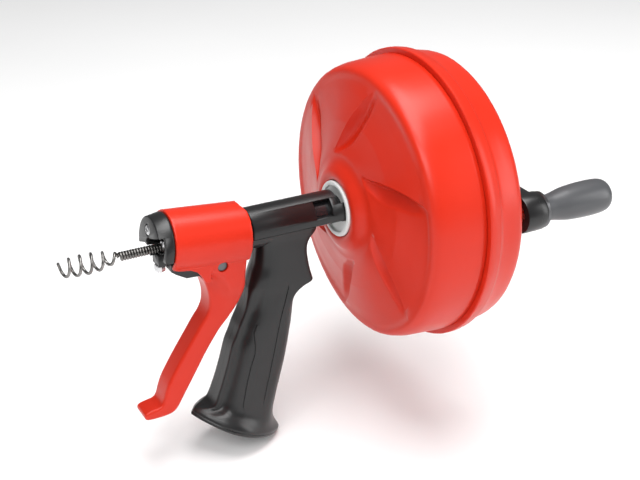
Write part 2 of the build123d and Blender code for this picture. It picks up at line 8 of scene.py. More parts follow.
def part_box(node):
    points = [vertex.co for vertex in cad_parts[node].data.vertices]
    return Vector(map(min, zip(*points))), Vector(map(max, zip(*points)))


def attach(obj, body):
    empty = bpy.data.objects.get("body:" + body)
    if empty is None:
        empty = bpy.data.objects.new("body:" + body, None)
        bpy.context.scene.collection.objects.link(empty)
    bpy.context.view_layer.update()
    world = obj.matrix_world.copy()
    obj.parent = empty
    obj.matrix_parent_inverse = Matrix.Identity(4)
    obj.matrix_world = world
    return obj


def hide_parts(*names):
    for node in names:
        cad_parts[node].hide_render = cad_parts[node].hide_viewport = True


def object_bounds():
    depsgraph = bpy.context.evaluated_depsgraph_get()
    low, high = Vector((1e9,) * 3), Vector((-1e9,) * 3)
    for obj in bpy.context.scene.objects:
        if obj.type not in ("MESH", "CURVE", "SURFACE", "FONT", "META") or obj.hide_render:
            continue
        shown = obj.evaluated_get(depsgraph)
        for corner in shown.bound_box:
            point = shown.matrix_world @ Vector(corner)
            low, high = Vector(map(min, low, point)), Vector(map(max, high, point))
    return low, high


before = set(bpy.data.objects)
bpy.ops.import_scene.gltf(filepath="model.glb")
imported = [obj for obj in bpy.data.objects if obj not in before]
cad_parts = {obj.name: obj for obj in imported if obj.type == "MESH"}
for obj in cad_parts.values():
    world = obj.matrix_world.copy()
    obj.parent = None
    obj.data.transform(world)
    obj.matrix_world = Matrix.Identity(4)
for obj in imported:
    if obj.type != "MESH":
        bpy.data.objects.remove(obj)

CAD_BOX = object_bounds()

# Drum drain snake with a pistol grip. Pieces are drawn in millimetres about the drum's seam
# plane, as the CAD is: X runs along the spin axis towards the crank, Z is up. point() turns
# such a place into the frame's metres.
SHANK_TIP_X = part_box("drive_shank")[1][0]
SEAM_X = SHANK_TIP_X - 0.076
MM = 0.001


def point(x, y, z):
    return Vector((SEAM_X + x * MM, y * MM, z * MM))


def lerp(a, b, t):
    return a + (b - a) * t


def smooth(t):
    t = min(max(t, 0.0), 1.0)
    return t * t * (3 - 2 * t)


def curve_value(knots, x):
    """Value at x of a smooth curve through (x, value) knots, level beyond the ends."""
    if x <= knots[0][0]:
        return knots[0][1]
    if x >= knots[-1][0]:
        return knots[-1][1]
    i = next(k for k in range(1, len(knots)) if x <= knots[k][0]) - 1
    (x0, y0), (x1, y1) = knots[i], knots[i + 1]

    def slope(k):
        low, high = knots[max(k - 1, 0)], knots[min(k + 1, len(knots) - 1)]
        return (high[1] - low[1]) / (high[0] - low[0])

    t, span = (x - x0) / (x1 - x0), x1 - x0
    ease = (2 * t ** 3 - 3 * t ** 2 + 1, t ** 3 - 2 * t ** 2 + t, 3 * t ** 2 - 2 * t ** 3, t ** 3 - t ** 2)
    return ease[0] * y0 + ease[1] * span * slope(i) + ease[2] * y1 + ease[3] * span * slope(i + 1)


# Mesh helpers ---------------------------------------------------------------------------

def mesh_object(name, verts, faces, sharp_deg=35):
    """Object from millimetre places; edges sharper than the angle stay crisp."""
    mesh = bpy.data.meshes.new(name)
    mesh.from_pydata([point(*v) for v in verts], [], faces)
    obj = bpy.data.objects.new(name, mesh)
    bpy.context.collection.objects.link(obj)
    tidy_mesh(obj, sharp_deg)
    return obj


def tidy_mesh(obj, sharp_deg=35):
    """Merge doubles, face outwards and shade smooth up to an angle."""
    bm = bmesh.new()
    bm.from_mesh(obj.data)
    bmesh.ops.remove_doubles(bm, verts=bm.verts, dist=1e-6)
    bmesh.ops.recalc_face_normals(bm, faces=bm.faces)
    bm.to_mesh(obj.data)
    bm.free()
    obj.data.shade_smooth()
    obj.data.set_sharp_from_angle(angle=math.radians(sharp_deg))


def apply_modifiers(obj):
    """Turn the object's modifiers into plain mesh."""
    graph = bpy.context.evaluated_depsgraph_get()
    mesh = bpy.data.meshes.new_from_object(obj.evaluated_get(graph))
    obj.modifiers.clear()
    obj.data = mesh


def bevel(obj, width, segments=3, angle=30):
    """Round the sharp edges; width in millimetres."""
    mod = obj.modifiers.new("bevel", "BEVEL")
    mod.width = width * MM
    mod.segments = segments
    mod.limit_method = "ANGLE"
    mod.angle_limit = math.radians(angle)
    mod.harden_normals = True
    return obj


def lathe(name, profile, segments=96, y=0.0, z=0.0, closed=False, sharp_deg=35):
    """Revolve (x, radius) points about the X axis through (y, z)."""
    rings = []
    for x, r in profile:
        turns = [2 * math.pi * i / segments for i in range(segments)]
        rings.append([(x, y + r * math.cos(a), z + r * math.sin(a)) for a in turns])
    return skin(name, rings, loop=closed, sharp_deg=sharp_deg)


def skin(name, rings, loop=False, sharp_deg=35):
    """Closed mesh through rings of equal length; ends are capped unless they loop."""
    width, rows = len(rings[0]), len(rings)
    verts = [v for ring in rings for v in ring]
    faces = []
    for j in range(rows if loop else rows - 1):
        k = (j + 1) % rows
        for i in range(width):
            n = (i + 1) % width
            faces.append((j * width + i, j * width + n, k * width + n, k * width + i))
    if not loop:
        faces.append(tuple(range(width)))
        faces.append(tuple(reversed(range((rows - 1) * width, rows * width))))
    return mesh_object(name, verts, faces, sharp_deg)


def box(x_range, y_range, z_range):
    corners = [(x, y, z) for x in x_range for y in y_range for z in z_range]
    faces = [(0, 1, 3, 2), (4, 6, 7, 5), (0, 4, 5, 1), (2, 3, 7, 6), (0, 2, 6, 4), (1, 5, 7, 3)]
    return mesh_object("box", corners, faces)


def cross_rod(radius, y_range, x, z, segments=48):
    """Round bar along Y."""
    rings = []
    for y in y_range:
        turns = [2 * math.pi * i / segments for i in range(segments)]
        rings.append([(x + radius * math.cos(a), y, z + radius * math.sin(a)) for a in turns])
    return skin("rod", rings)


def combine(obj, operation, *tools, sharp_deg=35):
    """Boolean an object with tools, which are used up."""
    for tool in tools:
        mod = obj.modifiers.new("combine", "BOOLEAN")
        mod.operation = operation
        mod.solver = "EXACT"
        mod.object = tool
        apply_modifiers(obj)
        bpy.data.objects.remove(tool)
    tidy_mesh(obj, sharp_deg)
    return obj


def finish_edges(obj, width, segments=3, angle=30, sharp_deg=40):
    """Round the sharp edges for good."""
    bevel(obj, width, segments, angle)
    apply_modifiers(obj)
    tidy_mesh(obj, sharp_deg)
    return obj


def copy_mirrored(obj, name):
    """Mirror image across Y = 0."""
    twin = obj.copy()
    twin.data = obj.data.copy()
    twin.name = name
    twin.data.transform(Matrix.Scale(-1, 4, (0, 1, 0)))
    twin.data.flip_normals()
    bpy.context.collection.objects.link(twin)
    return twin


def interpolate(stations, per_span):
    """Smoothly resample rows of numbers, per_span steps between each pair."""
    knots = [list(enumerate(column)) for column in zip(*stations)]
    steps = (len(stations) - 1) * per_span
    return [[curve_value(column, i / per_span) for column in knots] for i in range(steps + 1)]


def tube_mesh(name, path, radius, sides=10):
    """Round wire along a path of places in millimetres; radius may be a function of 0..1."""
    places = [Vector(p) for p in path]
    rings = []
    side = Vector((0, 0, 1))
    for i, place in enumerate(places):
        ahead = (places[min(i + 1, len(places) - 1)] - places[max(i - 1, 0)]).normalized()
        side = (side - ahead * side.dot(ahead)).normalized()
        other = ahead.cross(side)
        r = radius(i / (len(places) - 1)) if callable(radius) else radius
        turns = [2 * math.pi * k / sides for k in range(sides)]
        rings.append([place + side * (r * math.cos(a)) + other * (r * math.sin(a)) for a in turns])
    return skin(name, rings, sharp_deg=60)


def turn_mesh(obj, angle_deg, axis, centre):
    """Turn the mesh itself about a line through centre, in millimetres."""
    hub = point(*centre)
    turn = Matrix.Rotation(math.radians(angle_deg), 4, axis)
    obj.data.transform(Matrix.Translation(hub) @ turn @ Matrix.Translation(-hub))
    return obj


# Materials ------------------------------------------------------------------------------

class Nodes:
    """Small wrapper that adds and links shader nodes."""

    def __init__(self, name):
        self.material = bpy.data.materials.new(name)
        self.material.use_nodes = True
        self.tree = self.material.node_tree
        self.shader = self.tree.nodes["Principled BSDF"]

    def add(self, kind, **values):
        node = self.tree.nodes.new(kind)
        for key, value in values.items():
            if hasattr(node, key):
                setattr(node, key, value)
            else:
                node.inputs[key.replace("_", " ")].default_value = value
        return node

    def link(self, source, output, target, socket):
        self.tree.links.new(source.outputs[output], target.inputs[socket])

    def coordinates(self):
        return self.add("ShaderNodeTexCoord")

    def noise(self, scale, detail=4.0, roughness=0.55):
        node = self.add("ShaderNodeTexNoise", Scale=scale, Detail=detail, Roughness=roughness)
        self.link(self.coordinates(), "Object", node, "Vector")
        return node

    def ramp(self, source, output, stops):
        node = self.add("ShaderNodeValToRGB")
        elements = node.color_ramp.elements
        while len(elements) < len(stops):
            elements.new(0.5)
        for element, (place, value) in zip(elements, stops):
            element.position = place
            element.color = (*value, 1) if isinstance(value, tuple) else (value, value, value, 1)
        self.link(source, output, node, "Fac")
        return node

    def bump(self, layers):
        """Chain of bump layers: (source node, output, strength, distance in mm)."""
        last = None
        for source, output, strength, distance in layers:
            node = self.add("ShaderNodeBump", Strength=strength, Distance=distance * MM)
            self.link(source, output, node, "Height")
            if last:
                self.link(last, "Normal", node, "Normal")
            last = node
        self.link(last, "Normal", self.shader, "Normal")

    def set(self, **values):
        for key, value in values.items():
            self.shader.inputs[key.replace("_", " ")].default_value = value
        return self


def plastic(name, dark, light, rough, grain=900.0, grain_mm=0.04, coat=0.0, specular=0.5):
    """Moulded plastic: faint colour drift, fine surface grain and uneven gloss."""
    n = Nodes(name)
    drift = n.noise(9.0, 3.0)
    n.link(n.ramp(drift, "Fac", [(0.3, dark), (0.7, light)]), "Color", n.shader, "Base Color")
    haze = n.noise(38.0, 5.0)
    n.link(n.ramp(haze, "Fac", [(0.3, rough * 0.88), (0.75, rough * 1.15)]), "Color", n.shader, "Roughness")
    n.bump([(n.noise(grain, 2.0), "Fac", 0.35, grain_mm)])
    n.set(Coat_Weight=coat, Coat_Roughness=0.12, Specular_IOR_Level=specular)
    return n.material


def metal(name, dark, light, rough, grain=350.0, scratch=0.15):
    """Plated or bare steel: cloudy tone, fine bumpy grain and smudged gloss."""
    n = Nodes(name)
    cloud = n.noise(60.0, 5.0)
    n.link(n.ramp(cloud, "Fac", [(0.3, dark), (0.7, light)]), "Color", n.shader, "Base Color")
    smudge = n.noise(140.0, 4.0)
    n.link(n.ramp(smudge, "Fac", [(0.3, rough * 0.75), (0.75, rough * 1.3)]), "Color", n.shader, "Roughness")
    n.bump([(n.noise(grain * 6, 3.0), "Fac", scratch, 0.03)])
    n.set(Metallic=1.0)
    return n.material


RED = plastic("red_plastic", (0.60, 0.022, 0.007), (0.66, 0.027, 0.009), 0.33, grain_mm=0.01, specular=0.3)
BLACK = plastic("black_plastic", (0.006, 0.006, 0.0065), (0.012, 0.012, 0.0125), 0.34, grain=1400.0,
                grain_mm=0.03)
GLOSS_BLACK = plastic("gloss_black_plastic", (0.012, 0.012, 0.013), (0.020, 0.020, 0.022), 0.2, coat=0.3)
HANDLE = plastic("handle_plastic", (0.060, 0.061, 0.066), (0.078, 0.080, 0.085), 0.36, grain=1400.0,
                 grain_mm=0.05)
WHITE = plastic("bushing_plastic", (0.70, 0.72, 0.71), (0.78, 0.79, 0.78), 0.35)
ZINC = metal("zinc_steel", (0.52, 0.52, 0.53), (0.68, 0.68, 0.69), 0.28)
DARK_STEEL = metal("dark_steel", (0.10, 0.10, 0.105), (0.17, 0.17, 0.175), 0.35)
CABLE_STEEL = metal("cable_steel", (0.12, 0.115, 0.11), (0.30, 0.29, 0.28), 0.33)


# Drum -----------------------------------------------------------------------------------

SECTORS = 6
SECTOR_DEG = 360 / SECTORS
SWIRL_TIP_DEG = 79.0
CREST_DEG = [(39.0, 33.0), (47.5, 23.7), (58.0, 16.0), (70.0, 9.2), (80.8, 4.0), (89.5, 0.0)]
LIP_DEG = [(38.0, 14.0), (46.0, 18.5), (52.0, 17.5), (58.0, 15.5), (66.0, 12.5), (72.0, 10.5),
           (80.0, 7.0), (90.0, 4.0)]
POCKET_DEPTH = [(38.0, 0.0), (44.0, 4.6), (54.0, 7.6), (64.0, 7.6), (76.0, 4.8), (86.0, 1.6), (90.5, 0.0)]
LIP_DEPTH = [(38.0, 0.0), (46.0, 1.4), (58.0, 2.4), (74.0, 2.6), (86.0, 1.5), (90.5, 0.0)]
"""Swirls by radius: turn of the crest, width of the hollow behind it, its depth and the drop at its lip."""
DEEPEST = 0.42
"""Where across the hollow it is deepest."""
FACE = [(20.2, -56.4), (21.0, -57.4), (23.5, -57.6), (27.0, -56.8), (30.0, -54.2), (33.0, -52.2),
        (36.0, -51.3), (60.0, -46.8), (80.0, -41.4), (88.0, -38.9), (90.6, -38.3), (92.9, -38.0),
        (94.3, -37.2), (95.5, -35.7), (96.5, -33.2), (97.2, -30.6), (97.6, -28.5), (98.0, -26.0),
        (98.6, -18.0), (99.6, -4.0), (99.7, -0.6), (98.9, 0.2)]
"""Drum front, as radius and X from the hub's rim to the seam."""
RELIEF_R = (36.0, 90.0)
RELIEF_STEP = 0.75


def pocket(radius, back_deg):
    """Depth of the relief back_deg behind a swirl's crest: a steep leaf-shaped hollow, then a slow rise."""
    lip, deep, step = (curve_value(knots, radius) for knots in (LIP_DEG, POCKET_DEPTH, LIP_DEPTH))
    if back_deg >= lip:
        return step * (1 - smooth((back_deg - lip) / (SECTOR_DEG - lip)))
    across = back_deg / lip
    if across < DEEPEST:
        return deep * math.sin(math.pi / 2 * across / DEEPEST)
    rise = (across - DEEPEST) / (1 - DEEPEST)
    return lerp(deep, step, 1 - math.cos(math.pi / 2 * rise))


def face_x(radius):
    """X of the drum's front at a radius, without the swirls."""
    for (r0, x0), (r1, x1) in zip(FACE, FACE[1:]):
        if radius <= r1:
            return lerp(x0, x1, (radius - r0) / (r1 - r0))
    return FACE[-1][1]


def drum_front():
    """Front shell: a shallow cone round the hub with six swirls, and the front half of the wall."""
    steps = 16
    rows = int((RELIEF_R[1] - RELIEF_R[0]) / RELIEF_STEP)
    radii = [RELIEF_R[0] + RELIEF_STEP * i for i in range(rows)]
    past_lip = [0.04, 0.1, 0.18, 0.28, 0.38, 0.5, 0.6, 0.7, 0.8, 0.9]
    rings = [(r, x) for r, x in FACE if r < RELIEF_R[0]]
    rings += [(r, face_x(r)) for r in radii]
    rings += [(r, x) for r, x in FACE if r > RELIEF_R[1]]
    verts = []
    for r, x in rings:
        lip = curve_value(LIP_DEG, r)
        backs = [lip * i / steps for i in range(steps + 1)] + [lerp(lip, SECTOR_DEG, t) for t in past_lip]
        for sector in range(SECTORS):
            for back in backs:
                a = math.radians(SWIRL_TIP_DEG + curve_value(CREST_DEG, r) - back - sector * SECTOR_DEG)
                verts.append((x + pocket(r, back), -r * math.cos(a), r * math.sin(a)))
    width = len(verts) // len(rings)
    faces = []
    for j in range(len(rings) - 1):
        for i in range(width):
            n = (i + 1) % width
            faces.append((j * width + i, j * width + n, (j + 1) * width + n, (j + 1) * width + i))
    return mesh_object("drum_front", verts, faces, 50)


def dress(obj, material, body, slot, *nodes):
    """Give a piece its material, the CAD body it rides on and the nodes it stands for."""
    obj.data.materials.clear()
    obj.data.materials.append(material)
    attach(obj, body)
    if nodes:
        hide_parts(*nodes)
    return obj


REAR_RIBS = 12
REAR_WALL = [
    (0.4, 99.9), (0.4, 102.9), (1.0, 103.5), (5.2, 103.5), (5.9, 103.0), (8.6, 102.9), (9.4, 102.3),
    (10.4, 101.2), (13.0, 100.3), (20.0, 99.2), (26.0, 98.2), (28.6, 97.3), (30.6, 95.6),
    (32.0, 93.2), (33.0, 90.0),
]
REAR_FLOOR_X = 31.4
REAR_FACE = [(88.0, 33.0), (84.0, 33.0), (82.0, 32.2), (80.5, REAR_FLOOR_X)]
REAR_HUB = [(38.0, REAR_FLOOR_X), (36.4, 32.2), (35.0, 33.0), (34.0, 33.6), (31.0, 34.8),
            (29.0, 35.0), (12.6, 35.0), (12.6, 34.2), (5.2, 34.2), (5.2, 31.0)]
RIB_HALF_MM = 1.6
RIB_RAMP = 1.2
RIB_HEIGHT = 1.4
RIB_R = (36.5, 80.4)


def rib_height(radius, turn):
    """0 to 1 across the radial ribs of the rear face."""
    pitch = 2 * math.pi / REAR_RIBS
    off = abs((turn + pitch / 2) % pitch - pitch / 2) * radius
    return 1 - smooth((off - RIB_HALF_MM) / RIB_RAMP)


def drum_rear():
    """Rear shell: stepped lip, slightly conical wall and a ribbed end with a hub."""
    flat = [(80.0 - 3.5 * i, REAR_FLOOR_X) for i in range(13)]
    profile = REAR_WALL + [(x, r) for r, x in REAR_FACE + flat + REAR_HUB]
    pitch = 2 * math.pi / REAR_RIBS
    rings = []
    for x, r in profile:
        ring = []
        for rib in range(REAR_RIBS):
            half = (RIB_HALF_MM + RIB_RAMP) / max(r, 30.0)
            steps = [-half, -half * 0.78, -half * 0.57, 0.0, half * 0.57, half * 0.78, half]
            steps += [lerp(half, pitch - half, k / 6) for k in range(1, 6)]
            for step in steps:
                a = rib * pitch + step
                ribbed = x == REAR_FLOOR_X and RIB_R[0] < r < RIB_R[1]
                lift = RIB_HEIGHT * rib_height(r, a) if ribbed else 0.0
                ring.append((x + lift, r * math.cos(a), r * math.sin(a)))
        rings.append(ring)
    return skin("drum_rear", rings, sharp_deg=40)


def bushing():
    """Flanged bearing that the drum turns on, with the middle of its face sunk."""
    profile = [(-39.0, 9.66), (-39.0, 14.6), (-56.2, 14.6), (-56.2, 19.2), (-56.6, 19.8),
               (-58.0, 19.75), (-58.5, 19.3), (-58.6, 18.6), (-58.6, 17.2), (-58.4, 16.7),
               (-57.0, 16.4), (-56.8, 16.0), (-56.8, 9.66)]
    return lathe("hub_bushing", profile, closed=True, sharp_deg=45)


dress(drum_front(), RED, "drum", "red_plastic", "drum_front_shell")
dress(drum_rear(), RED, "drum", "red_plastic", "drum_rear_shell")
dress(bushing(), WHITE, "drum", "bushing_plastic", "drum_bushing")


# Crank ----------------------------------------------------------------------------------

CRANK_RADIUS = 80.5
CRANK_LIFT_DEG = 4.85
CRANK_HUB_R = 21.0
CRANK_BOSS_R = 13.4
ARM_EDGE = [(38.8, 1.0), (38.2, 0.3), (39.0, 0.0), (49.0, 0.0), (49.8, 0.6), (50.0, 1.6),
            (49.9, 3.4), (49.0, 4.0), (46.2, 4.2)]
"""Crank arm's rim from its front edge over the top to the sunk web, as X and inset."""
SHANK_BORE_R = 5.1
AXLE_BORE_R = 4.1
KNOB_SWELL = [(57.2, 8.0), (57.6, 8.5), (59.0, 8.8), (64.0, 9.1), (68.6, 9.9), (73.0, 10.8),
              (77.0, 11.5), (84.0, 12.1), (91.5, 12.4), (99.0, 12.4), (104.7, 12.1), (108.5, 11.4),
              (111.0, 10.2), (112.5, 8.4), (113.3, 5.8), (113.5, 1.6)]
"""Knob's outline from its neck to its end, as X and radius."""


def on_crank(obj):
    """From the -Y side to the crank's rest angle."""
    return turn_mesh(obj, -CRANK_LIFT_DEG, "X", (0, 0, 0))


def arm_outline(hub_r, boss_r, steps=20):
    """Belt line round the hub at the axis and the boss at the crank radius, as (y, z)."""
    lean = math.asin((hub_r - boss_r) / CRANK_RADIUS)
    outline = []
    for i in range(steps + 1):
        a = lerp(-math.pi / 2 + lean, math.pi / 2 - lean, i / steps)
        outline.append((hub_r * math.cos(a), hub_r * math.sin(a)))
    for i in range(steps + 1):
        a = lerp(math.pi / 2 - lean, 3 * math.pi / 2 + lean, i / steps)
        outline.append((-CRANK_RADIUS + boss_r * math.cos(a), boss_r * math.sin(a)))
    return outline


def crank_arm():
    """Tapered arm with a raised rim, a sunk web, a hub and the knob's boss."""
    rings = []
    for x, inset in ARM_EDGE:
        rings.append([(x, y, z) for y, z in arm_outline(CRANK_HUB_R - inset, CRANK_BOSS_R - inset)])
    arm = skin("crank_arm", rings)
    hub_profile = [(35.2, 12.0), (38.4, 12.0), (38.4, 15.5), (49.6, 15.5), (50.0, 15.0), (50.0, SHANK_BORE_R)]
    hub = lathe("hub", hub_profile, 72)
    boss = lathe("boss", [(42.0, 13.3), (53.2, 13.3), (54.1, 12.9), (54.4, 12.0)], 72, -CRANK_RADIUS)
    web_rib = box((44.0, 49.4), (-CRANK_RADIUS, 0.0), (-1.6, 1.6))
    arm = combine(arm, "UNION", hub, boss, web_rib)
    bore = lathe("bore", [(30.0, SHANK_BORE_R), (64.0, SHANK_BORE_R)], 48)
    axle_bore = lathe("bore", [(30.0, AXLE_BORE_R), (64.0, AXLE_BORE_R)], 48, -CRANK_RADIUS)
    sink = lathe("bore", [(30.0, 6.9), (46.0, 6.9)], 48, -CRANK_RADIUS)
    return on_crank(combine(arm, "DIFFERENCE", bore, axle_bore, sink))


def knob():
    """Free-turning handle: a narrow neck that swells to a rounded end."""
    shown = interpolate([[x, r] for x, r in KNOB_SWELL], 3)
    profile = [(KNOB_SWELL[0][0], 4.06)] + [tuple(v) for v in shown]
    return on_crank(lathe("crank_knob", profile, 96, -CRANK_RADIUS, sharp_deg=50))


def hex_nut(name, x_from, x_to, flats, bore):
    """Hexagonal nut along X with turned chamfers."""
    corner = flats / 2 / math.cos(math.pi / 6)
    ring = [(corner * math.cos(math.pi / 3 * i), corner * math.sin(math.pi / 3 * i)) for i in range(6)]
    nut = skin(name, [[(x, y, z) for y, z in ring] for x in (x_from, x_to)])
    end_r = flats / 2 * 0.97
    cone = lathe("cone", [(x_from, end_r), (x_from + 1.2, corner), (x_to - 1.2, corner), (x_to, end_r)], 48)
    combine(nut, "INTERSECT", cone)
    return combine(nut, "DIFFERENCE", lathe("bore", [(x_from - 1, bore), (x_to + 1, bore)], 36))


def washer(name, x_from, x_to, outer, inner, y=0.0):
    """Flat ring about the X axis with rounded rims."""
    edge = 0.3
    profile = [(x_from, inner), (x_from, outer - edge), (x_from + edge, outer),
               (x_to - edge, outer), (x_to, outer - edge), (x_to, inner)]
    return lathe(name, profile, 72, y, closed=True)


def shank():
    """Drive shank, its free end turned down with a lead-in chamfer, on a hexagonal head."""
    bar = lathe("drive_shank", [(26.0, 5.0), (59.4, 5.0), (60.0, 4.75), (75.2, 4.75), (76.0, 4.0)], 64)
    corner = 7.5 / math.cos(math.pi / 6)
    ring = [(corner * math.cos(math.pi / 3 * i), corner * math.sin(math.pi / 3 * i)) for i in range(6)]
    return combine(bar, "UNION", skin("head", [[(x, y, z) for y, z in ring] for x in (21.3, 27.3)]))


dress(crank_arm(), BLACK, "drum", "black_plastic", "crank_arm")
dress(knob(), HANDLE, "crank_knob", "handle_plastic", "crank_knob", "knob_cap")
dress(hex_nut("crank_nut_hex", 51.8, 58.4, 16.0, 5.05), ZINC, "drum", "zinc_steel", "crank_nut")
dress(washer("crank_washer_ring", 50.1, 51.7, 10.0, SHANK_BORE_R), ZINC, "drum", "zinc_steel", "crank_washer")
# The knob's washer is zinc-plated steel but is drawn in dark steel: painted shade for the shadow between the
# crank's boss and the knob.
dress(on_crank(washer("knob_washer_ring", 54.7, 56.8, 12.7, AXLE_BORE_R, -CRANK_RADIUS)),
      DARK_STEEL, "drum", "zinc_steel", "knob_washer")
dress(shank(), ZINC, "drum", "zinc_steel", "drive_shank")


# Trigger: hood, cheeks and lever ---------------------------------------------------------

PIVOT = (-150.7, 0.0, -15.5)
TRIGGER_REST_DEG = 5.3
HOOD_R = 21.5
HOOD_INNER_R = 18.5
HOOD_FRONT_X = -186.0
HOOD_REAR_X = -132.0
HOOD_SKIRT_DEG = -37.2
HOOD_CUT = ((-135.0, 21.5), (-132.0, 19.3))
SKIRT_Y = (14.2, 16.85)
SKIRT = [(-185.8, -8.6), (-185.6, -9.9), (-181.7, -11.6), (-173.4, -12.9), (-168.8, -15.3),
         (-165.9, -19.4), (-163.4, -24.2), (-159.0, -25.0), (-159.0, -10.6)]
LEVER_SPAN_X = (-190.0, -110.0)
CHEEK_INNER_HALF = 12.0
CHEEK_FLOOR_Z = -24.8
CHEEK_TOP_HALF = 13.9
CHEEK_TOP_Z = -12.0
SKIN_VOXEL = 0.6
PIN_HOLE_R = 3.06
PIN_SINK_R = 3.75
PIN_SINK_Y = 15.0
LEVER = [
    (-168.9, -8.0, -132.3, -6.0, 16.9, 16.9), (-168.6, -14.5, -132.6, -13.0, 16.9, 16.6),
    (-165.8, -19.5, -133.2, -20.0, 16.7, 14.5), (-162.2, -26.0, -133.8, -26.5, 16.2, 10.5),
    (-159.2, -33.0, -133.6, -34.5, 14.8, 8.7), (-157.7, -41.0, -135.2, -43.0, 12.0, 8.5),
    (-158.2, -48.5, -138.9, -51.5, 10.0, 8.5), (-161.0, -55.0, -144.2, -59.0, 9.0, 8.5),
    (-165.5, -61.0, -151.5, -67.6, 8.5, 8.5), (-173.4, -72.8, -160.6, -80.7, 8.5, 8.5),
    (-181.3, -84.6, -168.4, -93.8, 8.5, 8.5), (-189.4, -98.0, -176.5, -107.3, 8.5, 8.5),
    (-192.6, -105.5, -180.3, -113.6, 8.5, 8.5), (-194.3, -111.2, -182.6, -117.6, 8.5, 8.5),
    (-196.0, -114.4, -185.2, -121.0, 8.5, 8.5), (-198.6, -115.8, -189.5, -123.2, 8.5, 8.5),
    (-201.6, -116.2, -196.0, -124.0, 8.5, 8.5), (-205.0, -116.8, -202.4, -123.9, 8.5, 8.5),
    (-207.6, -118.0, -206.4, -123.2, 8.4, 8.4), (-208.6, -119.6, -208.2, -122.0, 8.2, 8.2),
]
"""Lever stations: front X and Z, back X and Z, half width at the back and at the front."""


def at_rest(obj):
    """From level with the cable to the trigger's rest attitude, nose up."""
    return turn_mesh(obj, TRIGGER_REST_DEG, "Y", PIVOT)


def lever_ring(front_x, front_z, back_x, back_z, half, front_half):
    """Rounded section from the lever's front face to its back, narrow at the front."""
    depth = math.hypot(back_x - front_x, back_z - front_z)
    front_corner, back_corner = min(2.0, depth * 0.25), min(2.6, depth * 0.3)
    side = []
    places = [front_corner * (1 - math.cos(math.pi / 2 * k / 5)) for k in range(6)]
    places += [lerp(front_corner, depth - back_corner, k / 12) for k in range(1, 12)]
    places += [depth - back_corner * (1 - math.sin(math.pi / 2 * k / 5)) for k in range(6)]
    for along in places:
        spread = smooth((along - 3.0) / 13.0)
        width = lerp(front_half, half, spread)
        if along < front_corner:
            width -= front_corner - math.sqrt(max(front_corner ** 2 - (front_corner - along) ** 2, 0))
        if along > depth - back_corner:
            width -= back_corner - math.sqrt(max(back_corner ** 2 - (along - depth + back_corner) ** 2, 0))
        side.append((along / depth, width))
    ring = [(lerp(front_x, back_x, t), -y, lerp(front_z, back_z, t)) for t, y in side]
    return ring + [(x, -y, z) for x, y, z in reversed(ring)]


def hood_shell():
    """Part cylinder over the spine, open below, its rear corner cut at the top."""
    (cut_x, cut_z), (low_x, low_z) = HOOD_CUT
    rings = []
    steps = 72
    for i in range(steps + 1):
        a = math.radians(lerp(HOOD_SKIRT_DEG, 180 - HOOD_SKIRT_DEG, i / steps))
        outer = [HOOD_R * math.cos(a), HOOD_R * math.sin(a)]
        inner = [HOOD_INNER_R * math.cos(a), HOOD_INNER_R * math.sin(a)]
        rear = min(HOOD_REAR_X, lerp(low_x, cut_x, (outer[1] - low_z) / (cut_z - low_z)))
        rings.append([(HOOD_FRONT_X, *inner), (HOOD_FRONT_X, *outer), (rear, *outer), (rear, *inner)])
    return at_rest(skin("hood", rings))


def remesh(obj, voxel, smoothing):
    """Fuse overlapping closed parts into one skin and melt the corners between them."""
    mod = obj.modifiers.new("remesh", "REMESH")
    mod.mode = "VOXEL"
    mod.voxel_size = voxel * MM
    mod = obj.modifiers.new("smooth", "SMOOTH")
    mod.factor = 0.5
    mod.iterations = smoothing
    apply_modifiers(obj)
    return obj


def join(obj, *others):
    """Put several meshes into one object, untouched."""
    bm = bmesh.new()
    for part in (obj, *others):
        bm.from_mesh(part.data)
    bm.to_mesh(obj.data)
    bm.free()
    for part in others:
        bpy.data.objects.remove(part)
    return obj


def trigger():
    """Lever, its two cheeks, the hood and the skirts below it, fused into one moulding."""
    lever = skin("trigger_lever", [lever_ring(*station) for station in interpolate(LEVER, 5)])
    for half, low in ((CHEEK_INNER_HALF, CHEEK_FLOOR_Z), (CHEEK_TOP_HALF, CHEEK_TOP_Z)):
        combine(lever, "DIFFERENCE", box(LEVER_SPAN_X, (-half, half), (low, 10)))
    spans = (SKIRT_Y, [-y for y in SKIRT_Y])
    skirts = [skin("skirt", [[(x, y, z) for x, z in SKIRT] for y in span]) for span in spans]
    join(lever, hood_shell(), *skirts)
    remesh(lever, SKIN_VOXEL, 5)
    turn_mesh(lever, -TRIGGER_REST_DEG, "Y", PIVOT)
    for vert in lever.data.vertices:
        x, y, z = (vert.co.x - SEAM_X) / MM, vert.co.y / MM, vert.co.z / MM
        reach = math.hypot(y, z)
        inside_ends = HOOD_FRONT_X + 1.0 < x < HOOD_REAR_X - 1.0
        if inside_ends and z > -9.0 and abs(reach - HOOD_R) < 0.5:
            vert.co.y, vert.co.z = y / reach * HOOD_R * MM, z / reach * HOOD_R * MM
    at_rest(lever)
    sinks = ((-30, -PIN_SINK_Y), (PIN_SINK_Y, 30))
    holes = [cross_rod(PIN_SINK_R, y_range, PIVOT[0], PIVOT[2]) for y_range in sinks]
    holes.append(cross_rod(PIN_HOLE_R, (-30, 30), PIVOT[0], PIVOT[2]))
    combine(lever, "DIFFERENCE", *holes)
    return lever


def pivot_pin():
    """Cross pin with rounded ends, as Y and radius."""
    ends = [(-15.65, 2.9), (-15.5, 3.35), (-15.2, 3.55), (-15.05, 3.55), (-15.05, 3.0)]
    ends += [(-y, r) for y, r in reversed(ends)]
    turns = [2 * math.pi * i / 40 for i in range(40)]
    rings = [[(PIVOT[0] + r * math.cos(a), y, PIVOT[2] + r * math.sin(a)) for a in turns] for y, r in ends]
    return skin("pivot_pin_bar", rings)


